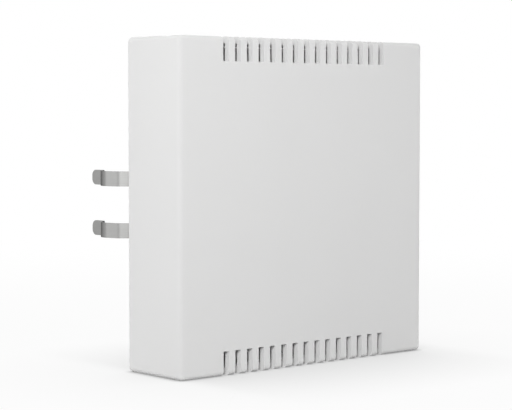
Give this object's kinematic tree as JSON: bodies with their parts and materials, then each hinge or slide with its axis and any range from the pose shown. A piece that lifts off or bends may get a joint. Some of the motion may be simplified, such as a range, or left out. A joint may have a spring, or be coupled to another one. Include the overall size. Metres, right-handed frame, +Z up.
{
  "type": "room temperature sensor",
  "caption": "Flat square housing with rounded edges, vent slots along its top and bottom front edges, and bowed spring fingers at the rear of its sides.",
  "frame": {"origin": "centre of the flat back face, where the sensor lies on the wall", "axes": "+X to the right seen from the front, +Y out of the back face into the wall, +Z up"},
  "size_m": [0.0872, 0.0397, 0.084],
  "materials": {
    "cover_plastic": "smooth satin moulding",
    "plate_plastic": "smooth satin moulding",
    "grommet_rubber": "matt",
    "spring_steel": "bright rolled strip",
    "rivet_metal": "bright",
    "board_laminate": "satin solder mask",
    "screw_steel": "zinc plated",
    "terminal_plastic": "satin moulding",
    "cage_brass": "tin plated",
    "element_resin": "dipped resin",
    "lead_wire": "tinned wire"
  },
  "bodies": {
    "root": {"front_cover": "cover_plastic", "back_plate": "plate_plastic", "cable_grommet": "grommet_rubber", "spring_clip_left": "spring_steel", "spring_clip_right": "spring_steel", "clip_rivet_left_lower": "rivet_metal", "clip_rivet_left_upper": "rivet_metal", "clip_rivet_right_lower": "rivet_metal", "clip_rivet_right_upper": "rivet_metal", "circuit_board": "board_laminate", "board_screw_1": "screw_steel", "board_screw_2": "screw_steel", "terminal_body": "terminal_plastic", "terminal_cage_1": "cage_brass", "terminal_cage_2": "cage_brass", "terminal_screw_1": "screw_steel", "terminal_screw_2": "screw_steel", "terminal_pin_1": "cage_brass", "terminal_pin_2": "cage_brass", "sensing_element": "element_resin", "sensing_lead_1": "lead_wire", "sensing_lead_2": "lead_wire"}
  },
  "joints": []
}
